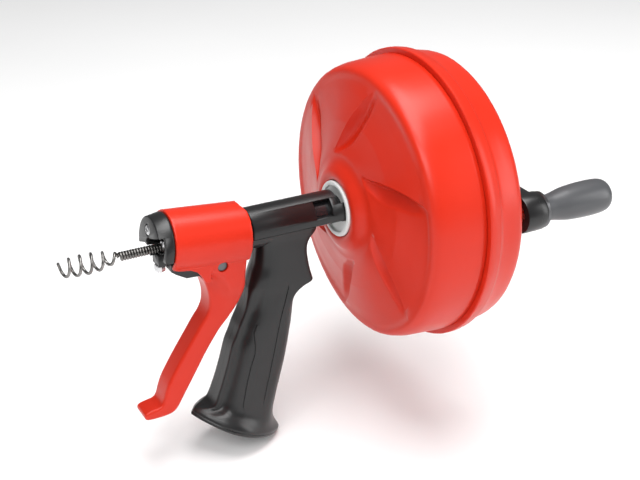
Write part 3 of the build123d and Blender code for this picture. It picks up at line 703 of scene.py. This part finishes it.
dress(trigger(), RED, "trigger", "red_plastic", "trigger_lever")
dress(pivot_pin(), DARK_STEEL, "gun_body", "dark_steel", "pivot_pin")


# Nose with its screw, rollers and bracket -------------------------------------------------

SCREW_Z = 9.2
NOSE_ROLL_DEG = 20.5
ROLLER_X = -185.2
ROLLER_REACH = 6.425
ROLLER_NIP_DEG = 24.0
ROLLER_SKEW_DEG = 10.0
PLATE_REAR_X = -192.0
PLATE_LOW_Z = {(-30, 0): 3.7, (0, 30): 1.2}
"""Lower edge of the nose plate on the near and the far side, by range of Y."""
NOTCH_R = 4.8
CABLE_WAY_R = 4.2
NOSE_SEAT_X = (-182.2, -178.0)
BRACKET_X = (-191.0, -175.1)
BRACKET_HALF = 5.5
BRACKET_Z = (-11.5, -3.4)
NUT_X = -188.4
NUT_Z = (-16.5, -11.6)


def nose():
    """Black ring plate at the front of the hood, with the cable notch and a screw recess."""
    profile = [(-196.5, 17.7), (-196.3, 18.2), (-195.8, 18.5), (-188.0, 20.35), (-187.2, 20.4),
               (-186.4, 20.1), (-186.4, 18.3), (-179.0, 18.3)]
    block = lathe("nose_block_body", profile, 128)
    cavity = lathe("cavity", [(-192.1, 15.5), (-181.2, 15.5)], 64)
    plate_cuts = [box((-200, PLATE_REAR_X), span, (-40, low)) for span, low in PLATE_LOW_Z.items()]
    for cutter in plate_cuts:
        turn_mesh(cutter, -NOSE_ROLL_DEG, "X", (0, 0, 0))
    arch = lathe("arch", [(-200, NOTCH_R), (PLATE_REAR_X, NOTCH_R)], 64)
    slot = box(NOSE_SEAT_X, (-6.5, 6.5), (-40, -2.0))
    skirt = box((-201, -174), (-30, 30), (-40, -7))
    cable_way = lathe("way", [(NOSE_SEAT_X[0], CABLE_WAY_R), (-170, CABLE_WAY_R)], 40)
    mouth = box(NOSE_SEAT_X, (-CABLE_WAY_R, CABLE_WAY_R), (-40, 0))
    combine(block, "DIFFERENCE", cavity, *plate_cuts, arch, slot, cable_way, mouth, skirt)
    finish_edges(block, 0.4, 2, 50)
    screw_sink = lathe("sink", [(-199, 4.3), (-196.6, 4.3), (-196.1, 4.1), (-194.9, 4.0)], 48, 0.0, SCREW_Z)
    turn_mesh(screw_sink, -NOSE_ROLL_DEG, "X", (0, 0, 0))
    combine(block, "DIFFERENCE", screw_sink)
    return at_rest(block)


def screw_head(name, x, y, z, radius, height, cross, facing=-1):
    """Pan head with a cross recess; it faces -X, or +X when facing is 1."""
    profile = [(0.0, radius), (0.35, radius), (0.62, radius * 0.94), (0.86, radius * 0.78),
               (0.97, radius * 0.5), (1.0, radius * 0.12)]
    head = lathe(name, [(x + facing * height * t, r) for t, r in profile], 48, y, z, sharp_deg=50)
    top = x + facing * height
    lows, highs = sorted((top + facing, top - facing * height * 0.55))
    bars = [box((lows, highs), (y - cross, y + cross), (z - cross * 0.22, z + cross * 0.22)),
            box((lows, highs), (y - cross * 0.22, y + cross * 0.22), (z - cross, z + cross))]
    return combine(head, "DIFFERENCE", *bars)


def nose_screw():
    """Cross-headed screw that holds the nose plate."""
    head = screw_head("nose_screw_head", -194.9, 0.0, SCREW_Z, 3.75, 2.1, 2.3)
    turn_mesh(head, 22, "X", (0, 0, SCREW_Z))
    shaft = lathe("shaft", [(-195.0, 2.0), (-192.2, 2.0)], 24, 0.0, SCREW_Z)
    combine(head, "UNION", shaft)
    return at_rest(turn_mesh(head, -NOSE_ROLL_DEG, "X", (0, 0, 0)))


def nip_place(obj, side):
    """Move a part drawn about the X axis to an upper roller's place."""
    a = math.radians(ROLLER_NIP_DEG)
    centre = point(ROLLER_X, side * ROLLER_REACH * math.cos(a), ROLLER_REACH * math.sin(a))
    nip = Matrix.Rotation(math.radians(side * ROLLER_NIP_DEG), 4, "X")
    skew = Matrix.Rotation(math.radians(side * ROLLER_SKEW_DEG), 4, "Y")
    obj.data.transform(Matrix.Translation(centre) @ nip @ skew @ Matrix.Translation(-point(0, 0, 0)))
    return at_rest(obj)


def roller(name):
    """Steel feed roller with rounded ends and a grip groove."""
    profile = [(-3.5, 1.25), (-3.5, 2.6), (-3.1, 3.0), (-0.5, 3.0), (-0.3, 2.8), (0.3, 2.8),
               (0.5, 3.0), (3.1, 3.0), (3.5, 2.6), (3.5, 1.25)]
    return lathe(name, profile, 48, closed=True)


def stud(name):
    """Round-headed stud that an upper roller turns on."""
    profile = [(6.0, 1.2), (-3.7, 1.2), (-3.7, 2.9), (-4.4, 2.85), (-5.0, 2.4), (-5.3, 1.6), (-5.4, 0.6)]
    return lathe(name, profile, 40, sharp_deg=50)


def bracket():
    """Block under the cable that carries the lower roller."""
    body = box(BRACKET_X, (-BRACKET_HALF, BRACKET_HALF), BRACKET_Z)
    pocket_half = 3.8
    combine(body, "DIFFERENCE",
            box((ROLLER_X - pocket_half, ROLLER_X + pocket_half), (-3.6, 3.6), (-10.2, 0)),
            lathe("way", [(-200, CABLE_WAY_R), (-170, CABLE_WAY_R)], 40),
            lathe("pin_bore", [(-190.6, 1.25), (-179.8, 1.25)], 24, 0.0, -ROLLER_REACH))
    body.name = "roller_bracket_block"
    return finish_edges(body, 0.6, 2, 50)


def hanging_nut(name, x, z_range, flats):
    """Hexagonal nut on a vertical axis with chamfered corners."""
    corner = flats / 2 / math.cos(math.pi / 6)
    low, high = z_range
    rings = []
    for z, size in ((low, 0.9), (low + 0.7, 1.0), (high - 0.7, 1.0), (high, 0.9)):
        turns = [math.pi / 3 * (i + 0.5) for i in range(6)]
        rings.append([(x + corner * size * math.cos(a), corner * size * math.sin(a), z) for a in turns])
    return skin(name, rings)


dress(nose(), BLACK, "trigger", "black_plastic", "nose_block")
dress(nose_screw(), ZINC, "trigger", "zinc_steel", "nose_screw")
for name, side in (("near", -1), ("far", 1)):
    node = f"upper_roller_{name}"
    dress(nip_place(roller(f"feed_roller_{name}"), side), ZINC, node, "zinc_steel", node)
studs = [nip_place(stud(f"roller_stud_{side}"), side) for side in (-1, 1)]
dress(join(*studs), ZINC, "trigger", "zinc_steel", "upper_roller_studs")
lower = roller("feed_roller_lower")
lower.data.transform(Matrix.Translation((ROLLER_X * MM, 0, -ROLLER_REACH * MM)))
dress(lower, ZINC, "lower_roller", "zinc_steel", "lower_roller")
dress(bracket(), BLACK, "gun_body", "black_plastic", "roller_bracket")
dress(hanging_nut("bracket_nut_hex", NUT_X, NUT_Z, 6.4), ZINC, "gun_body", "zinc_steel", "bracket_nut")


# Barrel and spindle ------------------------------------------------------------------------

BARREL_R = 14.3
COVER_EDGE_Z = -3.0
SPINDLE_R = 9.6
SPINDLE_SEAT_R = 9.7
WINDOW_X = (-79.5, -66.5)
WINDOW_Z = (1.6, 12.6)
WINDOW_INNER_Y = 3.2
LUG_INNER_Y = 11.0
LUG_TOP_Z = 9.0


def barrel_cover():
    """Upper half of the barrel, with windows on the spindle tube and side lugs at the drum's bushing."""
    profile = [(-126.8, SPINDLE_SEAT_R), (-126.8, 13.7), (-126.2, BARREL_R), (-61.2, BARREL_R),
               (-60.4, 13.5), (-60.4, SPINDLE_SEAT_R)]
    cover = lathe("barrel_cover_shell", profile, 128, closed=True)
    cuts = [box((-130, -50), (-20, 20), (-20, COVER_EDGE_Z))]
    cuts += [box(WINDOW_X, span, WINDOW_Z) for span in ((-20, -WINDOW_INNER_Y), (WINDOW_INNER_Y, 20))]
    combine(cover, "DIFFERENCE", *cuts)
    lug_profile = [(-61.5, SPINDLE_SEAT_R), (-61.5, 14.2), (-60.0, 15.7), (-57.3, 15.7),
                   (-57.3, SPINDLE_SEAT_R)]
    for span in ((-20, -LUG_INNER_Y), (LUG_INNER_Y, 20)):
        lug = lathe("lug", lug_profile, 96, closed=True)
        combine(lug, "INTERSECT", box((-70, -50), span, (COVER_EDGE_Z, LUG_TOP_Z)))
        combine(cover, "UNION", lug)
    return finish_edges(cover, 0.35, 2, 50)


def spindle():
    """Hollow tube that the drum's bushing turns on."""
    profile = [(-126.4, 5.2), (-126.4, 12.0), (-123.5, 12.0), (-123.5, SPINDLE_R),
               (-35.8, SPINDLE_R), (-35.8, 8.4), (-33.9, 8.4), (-33.9, SPINDLE_R),
               (-32.4, SPINDLE_R), (-32.0, 9.2), (-32.0, 5.2)]
    return lathe("spindle_tube_body", profile, 96, closed=True)


dress(barrel_cover(), BLACK, "gun_body", "black_plastic", "barrel_cover")
dress(spindle(), GLOSS_BLACK, "gun_body", "black_plastic", "spindle_tube")


# Grip --------------------------------------------------------------------------------------

GRIP = [
    (-120.2, -3.4, -78.0, -3.4, 13.8, 0.0, 0.0, 0.05),
    (-120.2, -5.4, -78.2, -5.2, 13.5, 0.0, 0.0, 0.05),
    (-120.2, -8.0, -79.8, -7.8, 13.2, 0.0, 0.0, 0.05),
    (-120.2, -11.0, -82.4, -10.6, 13.0, 0.0, 0.0, 0.05),
    (-120.3, -16.0, -84.7, -14.8, 13.2, 0.0, 0.0, 0.05),
    (-120.8, -21.0, -85.1, -20.5, 13.5, 0.0, 0.0, 0.06),
    (-121.9, -27.5, -84.1, -27.5, 13.9, 0.0, 0.0, 0.07),
    (-124.3, -34.5, -82.5, -34.6, 14.4, 0.0, 0.0, 0.08),
    (-126.2, -40.6, -80.8, -40.6, 14.8, 0.15, 0.0, 0.08),
    (-127.0, -43.0, -80.5, -42.4, 14.9, 0.3, 0.0, 0.08),
    (-127.6, -45.6, -82.2, -43.6, 15.0, 0.45, 0.0, 0.09),
    (-128.2, -48.6, -86.6, -45.2, 15.1, 0.6, 0.0, 0.11),
    (-129.0, -52.0, -90.6, -48.2, 15.3, 0.75, 0.0, 0.15),
    (-129.9, -55.2, -93.4, -52.6, 15.6, 0.9, 0.0, 0.20),
    (-131.4, -59.4, -94.4, -58.6, 15.9, 1.0, 0.0, 0.25),
    (-133.6, -64.2, -94.8, -65.0, 16.1, 1.0, 0.0, 0.28),
    (-136.2, -69.5, -95.7, -72.5, 16.3, 1.0, 0.0, 0.28),
    (-138.6, -75.5, -97.0, -80.0, 16.4, 1.0, 0.0, 0.28),
    (-142.4, -84.0, -98.4, -89.0, 16.4, 1.0, 0.0, 0.28),
    (-146.2, -97.5, -100.9, -101.0, 16.5, 1.0, 0.0, 0.28),
    (-150.4, -110.5, -104.6, -115.5, 16.7, 1.0, 0.0, 0.28),
    (-153.6, -119.0, -108.0, -128.0, 17.0, 1.0, 0.0, 0.28),
    (-156.2, -125.0, -110.7, -138.5, 17.6, 1.0, 0.0, 0.28),
    (-158.8, -127.8, -111.3, -145.0, 18.6, 1.0, 0.1, 0.28),
    (-163.0, -128.4, -110.0, -151.2, 20.8, 1.0, 0.45, 0.30),
    (-167.4, -128.6, -107.2, -157.4, 23.2, 1.0, 0.85, 0.40),
    (-169.6, -129.0, -105.4, -161.0, 24.3, 1.0, 1.0, 0.45),
    (-170.4, -129.8, -105.2, -162.0, 24.6, 1.0, 1.0, 0.45),
    (-170.9, -130.8, -105.6, -163.0, 24.6, 1.0, 1.0, 0.45),
    (-170.8, -131.2, -105.9, -163.4, 24.2, 1.0, 1.0, 0.45),
    (-171.3, -131.6, -105.9, -163.8, 24.6, 1.0, 1.0, 0.45),
    (-171.9, -132.6, -106.6, -164.9, 24.5, 1.0, 1.0, 0.45),
    (-171.8, -133.3, -107.4, -165.5, 23.9, 1.0, 1.0, 0.45),
]
"""Grip stations: front X and Z, rear X and Z, half width, and shares of the ribbed front, of the
flange's plan and of the depth that is rounded at the rear."""
ROUND_FRONT = [(0.0, 0.18), (0.5, 0.36), (1.5, 0.55), (3.0, 0.70), (5.0, 0.83), (8.0, 0.94),
               (12.0, 0.99), (15.0, 1.0)]
RIB_FRONT = [(0.0, 0.42), (0.3, 0.45), (0.9, 0.475), (2.4, 0.478), (4.5, 0.482), (6.0, 0.54),
             (7.0, 0.63), (8.0, 0.74), (9.2, 0.82), (11.0, 0.88), (14.0, 0.94), (20.0, 1.0)]
"""Share of the half width against the distance behind the front, for a round and a ribbed front."""
FLANGE_PLAN = [(0.0, 0.02), (0.03, 0.18), (0.096, 0.43), (0.234, 0.80), (0.413, 1.0), (0.605, 0.94),
               (0.798, 0.69), (0.93, 0.38), (0.985, 0.17), (1.0, 0.02)]
FRONT_STEPS = [0.0, 0.3, 0.9, 1.8, 3.0, 4.0, 4.8, 5.6, 6.2, 6.8, 7.4, 8.0, 8.4]
FRONT_LINE = [(-127.4, -139.5), (-109.0, -135.1), (-97.0, -131.7), (-86.7, -128.4), (-77.2, -128.2),
              (-67.9, -127.9)]
FRONT_LINE_SETBACK = 9.4
REAR_LINE = [(-130.8, -124.5), (-110.8, -119.3), (-89.5, -114.3), (-67.0, -109.2), (-53.9, -105.2),
             (-43.9, -102.0)]
"""Panel lines on the side, as Z and X."""
REAR_LINE_SETBACK = 18.0
LINE_TOP_Z = (-64.0, -40.0)
LINE_FOOT_Z = -131.0
SEAM_HALF = 0.06
LINE_DEPTH = 0.5
LINE_HALF = 0.45
PER_SPAN = 4


def grip_half_width(depth, t, half, rib, flare, round_rear):
    """Half width at a share t of the way from front to rear."""
    width = half * lerp(curve_value(ROUND_FRONT, t * depth), curve_value(RIB_FRONT, t * depth), rib)
    if t > 1 - round_rear:
        width *= math.sqrt(max(1 - (1 - (1 - t) / round_rear) ** 2, 0))
    return lerp(width, half * curve_value(FLANGE_PLAN, t), flare)


def line_share(knots, row, depth, closest):
    """Where a panel line crosses a section, as a share of its depth, no nearer the front than a distance."""
    front_x, front_z, rear_x, rear_z = row[:4]
    t = 0.5
    for _ in range(4):
        t = (curve_value(knots, lerp(front_z, rear_z, t)) - front_x) / (rear_x - front_x)
        t = min(max(t, closest / depth), 0.9)
    return t


def line_shown(z, top):
    """0 to 1: a panel line fades in below its top and out above the flange."""
    return smooth((top - z) / 4.0) * smooth((z - LINE_FOOT_Z) / 3.0)


def grip_ring(row):
    """Near half of a grip section, from the front seam to the rear seam."""
    front_x, front_z, rear_x, rear_z, half, rib, flare, round_rear = row
    depth = math.hypot(rear_x - front_x, rear_z - front_z)
    line_half = LINE_HALF / depth
    first = line_share(FRONT_LINE, row, depth, FRONT_LINE_SETBACK)
    second = line_share(REAR_LINE, row, depth, REAR_LINE_SETBACK)
    start = FRONT_STEPS[-1] / depth
    rear_start = max(1 - round_rear, second + line_half + 0.02)
    stops = [step / depth for step in FRONT_STEPS]
    stops += [lerp(start, first - line_half, k / 7) for k in range(1, 8)] + [first]
    stops += [lerp(first + line_half, second - line_half, k / 8) for k in range(9)] + [second]
    stops += [lerp(second + line_half, rear_start, k / 6) for k in range(6)]
    stops += [lerp(rear_start, 1.0, math.sin(math.pi / 2 * k / 11)) for k in range(12)]
    ring = []
    for t in stops:
        width = grip_half_width(depth, t, half, rib, flare, round_rear)
        z = lerp(front_z, rear_z, t)
        if t == first:
            width -= LINE_DEPTH * line_shown(z, LINE_TOP_Z[0])
        if t == second:
            width -= LINE_DEPTH * line_shown(z, LINE_TOP_Z[1])
        ring.append((lerp(front_x, rear_x, t), -max(width, 0.0), z))
    face = [(front_x, ring[0][1] * share, front_z) for share in (0.0, 0.4, 0.8)]
    ring = face + ring
    inner = [(x, -SEAM_HALF, z) for x, y, z in reversed(ring)]
    return [(x, min(y, -SEAM_HALF), z) for x, y, z in ring] + inner[1:-1]


def half_bar(radius, x_from, x_to, top_z, steps=24):
    """Near lower quarter of a round bar along X, below top_z."""
    low = math.asin(top_z / radius)
    arc = [lerp(low, -math.pi / 2, k / steps) for k in range(steps + 1)]
    section = [(-radius * math.cos(a), radius * math.sin(a)) for a in arc]
    section = [(min(y, -SEAM_HALF), z) for y, z in section] + [(-SEAM_HALF, top_z)]
    return skin("bar", [[(x, y, z) for y, z in section] for x in (x_from, x_to)])


WEDGE = [(-184.9, -8.5), (-184.9, -13.6), (-181.5, -16.3), (-174.6, -20.4), (-163.0, -21.2),
         (-139.0, -21.2), (-129.0, -15.5), (-126.0, -11.0), (-126.0, -8.5)]
"""Side outline of the block under the hood, as X and Z."""
SPINE_R = 13.2
SPINE_FRONT_X = -175.0
CABLE_BORE_R = 5.3


def grip_half():
    """Near shell: grip, lower half of the barrel and the spine that the trigger's hood covers."""
    rings = [grip_ring(row) for row in interpolate(GRIP, PER_SPAN)]
    grip = skin("grip_near", rings)
    barrel = half_bar(BARREL_R, -127.0, -82.0, COVER_EDGE_Z - 0.3)
    spine = half_bar(SPINE_R, SPINE_FRONT_X, -126.5, -0.01)
    top_spine = half_bar(SPINE_R, SPINE_FRONT_X, -127.0, -0.01)
    turn_mesh(top_spine, 180, "X", (0, 0, 0))
    top_spine.data.transform(Matrix.Scale(-1, 4, (0, 1, 0)))
    top_spine.data.flip_normals()
    wedge = skin("wedge", [[(x, y, z) for x, z in WEDGE] for y in (-11.4, -SEAM_HALF)])
    grip = combine(grip, "UNION", barrel, spine, top_spine, wedge)
    cuts = [lathe("bore", [(-177, CABLE_BORE_R), (-126, CABLE_BORE_R)], 40),
            lathe("bore", [(-126.5, SPINDLE_SEAT_R), (-50, SPINDLE_SEAT_R)], 64),
            lathe("bore", [(-126.7, 12.1), (-123.3, 12.1)], 64),
            cross_rod(3.1, (-30, 30), PIVOT[0], PIVOT[2]),
            box((PIVOT[0] - 6.0, PIVOT[0] + 6.4), (-4.6, 4.6), (-30, PIVOT[2] + 6.0))]
    return combine(grip, "DIFFERENCE", *cuts, sharp_deg=32)


near_grip = grip_half()
far_grip = copy_mirrored(near_grip, "grip_far")
SHELL_SCREWS = [(-168.0, -14.5, 11.4), (-134.0, -13.5, 11.4), (-98.0, -30.0, 13.0),
                (-121.0, -75.0, 13.0), (-137.0, -125.0, 13.0)]
"""Screws in the far shell: X, Z and the shell's half width there."""
SCREW_SINK_R = 3.5
SCREW_SINK_DEPTH = 3.1
sinks = [cross_rod(SCREW_SINK_R, (half - SCREW_SINK_DEPTH, 40), x, z, 36) for x, z, half in SHELL_SCREWS]
combine(far_grip, "DIFFERENCE", *sinks, sharp_deg=32)
dress(near_grip, BLACK, "gun_body", "black_plastic", "grip_shell_left")
dress(far_grip, BLACK, "gun_body", "black_plastic", "grip_shell_right")


# Cable and auger ---------------------------------------------------------------------------

CABLE_R = 3.175
CABLE_TIP_X = -216.0
CABLE_TAIL_X = -33.3
WIRE_R = 0.95
WIRE_PITCH = 1.9
AUGER_WIRE_R = 1.0


def wound_cable():
    """Close-wound music wire from inside the drum to the tip."""
    turns = (CABLE_TAIL_X - CABLE_TIP_X) / WIRE_PITCH
    per_turn = 20
    path = []
    radius = CABLE_R - WIRE_R
    length = CABLE_TAIL_X - CABLE_TIP_X - 2 * WIRE_R
    for i in range(int(turns * per_turn) + 1):
        a = 2 * math.pi * i / per_turn
        along = CABLE_TIP_X + WIRE_R + length * i / (turns * per_turn)
        path.append((along, radius * math.cos(a), radius * math.sin(a)))
    return tube_mesh("wound_cable", path, WIRE_R, 8)


AUGER_SWELL = [(0.0, 2.4), (0.6, 3.4), (1.4, 5.2), (2.6, 6.1), (3.8, 6.0), (4.8, 5.0), (5.4, 3.6)]
AUGER_TURNS = 5.4
AUGER_LENGTH = 40.5
AUGER_START_RAD = -0.6
AUGER_TAPER = (0.97, 0.35)
"""Where the wire starts to thin, as a share of its length, and by how much."""


def auger_wire_r(t):
    """Wire radius at a share of the auger's length, thinning at the tip."""
    start, loss = AUGER_TAPER
    return AUGER_WIRE_R * (1 - loss * smooth((t - start) / (1 - start)))


def auger():
    """Open bulb of springy wire at the tip, wound on from the cable."""
    per_turn = 28
    path = []
    for i in range(int(AUGER_TURNS * per_turn) + 1):
        turn = i / per_turn
        a = 2 * math.pi * turn + AUGER_START_RAD
        radius = curve_value(AUGER_SWELL, turn)
        along = CABLE_TIP_X + 1.0 - AUGER_LENGTH * (turn / AUGER_TURNS) ** 0.93
        path.append((along, radius * math.cos(a), radius * math.sin(a)))
    return tube_mesh("bulb_auger_wire", path, auger_wire_r, 12)


dress(wound_cable(), CABLE_STEEL, "cable", "cable_steel", "cable_core")
dress(auger(), CABLE_STEEL, "cable", "cable_steel", "bulb_auger")


# CAD pieces that stay as they are, with their materials --------------------------------------

KEPT = {
    "zinc_steel": (ZINC, ["grip_screws", "guide_tube", "retaining_ring", "lower_roller_pin",
                          "drive_plate", "plate_screws", "cable_anchor", "knob_axle"]),
    "dark_steel": (DARK_STEEL, ["trigger_spring"]),
    "bushing_plastic": (WHITE, ["thrust_washer"]),
    "cable_steel": (CABLE_STEEL, ["cable_coil", "cable_lead"]),
}
for material, nodes in KEPT.values():
    for node in nodes:
        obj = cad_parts[node]
        obj.data.materials.clear()
        obj.data.materials.append(material)


# Stage ----------------------------------------------------------------------------------

FLOOR_Z = CAD_BOX[0][2] - 0.0005


def stage():
    """Pale floor under the grip."""
    bpy.ops.mesh.primitive_plane_add(size=12, location=(0, 0, FLOOR_Z))
    floor = bpy.context.object
    floor.name = "floor"
    n = Nodes("pale_floor")
    n.link(n.ramp(n.noise(3.0), "Fac", [(0.3, 0.86), (0.7, 0.88)]), "Color", n.shader, "Base Color")
    n.set(Roughness=0.9, Specular_IOR_Level=0.1, Emission_Color=(1, 1, 1, 1), Emission_Strength=0.1)
    floor.data.materials.append(n.material)


def area_light(name, place, target, size, power):
    """Rectangular lamp at place, aimed at target."""
    data = bpy.data.lights.new(name, "AREA")
    data.shape = "RECTANGLE"
    data.size, data.size_y = size
    data.energy = power
    lamp = bpy.data.objects.new(name, data)
    lamp.location = place
    lamp.rotation_euler = (Vector(target) - Vector(place)).to_track_quat("-Z", "Y").to_euler()
    bpy.context.collection.objects.link(lamp)


def lights():
    """White surroundings with a large key, a top and a side light."""
    world = bpy.data.worlds.new("studio")
    bpy.context.scene.world = world
    world.use_nodes = True
    background = world.node_tree.nodes["Background"]
    background.inputs["Color"].default_value = (1, 1, 1, 1)
    background.inputs["Strength"].default_value = 0.21
    middle = point(-60, 0, 0)
    area_light("key", middle + Vector((-0.9, -1.1, 1.3)), middle, (1.2, 0.8), 18)
    area_light("top", middle + Vector((0.1, -0.1, 1.7)), middle, (1.6, 0.9), 36)
    area_light("side", middle + Vector((1.3, -1.0, 0.5)), middle, (0.5, 1.2), 10)


def camera():
    """Camera at the viewing angle of a three-quarter front view from above."""
    azimuth, elevation = math.radians(-28.38), math.radians(25.74)
    data = bpy.data.cameras.new("camera")
    data.sensor_width = 36
    data.lens = 69.47
    obj = bpy.data.objects.new("camera", data)
    level = math.cos(elevation)
    back = Vector((math.sin(azimuth) * level, -math.cos(azimuth) * level, math.sin(elevation)))
    obj.location = point(-437.84, -681.71, 352.07)
    obj.rotation_euler = (-back).to_track_quat("-Z", "Y").to_euler()
    bpy.context.collection.objects.link(obj)
    bpy.context.scene.camera = obj


stage()
lights()
camera()
bpy.context.scene.view_settings.view_transform = "Standard"
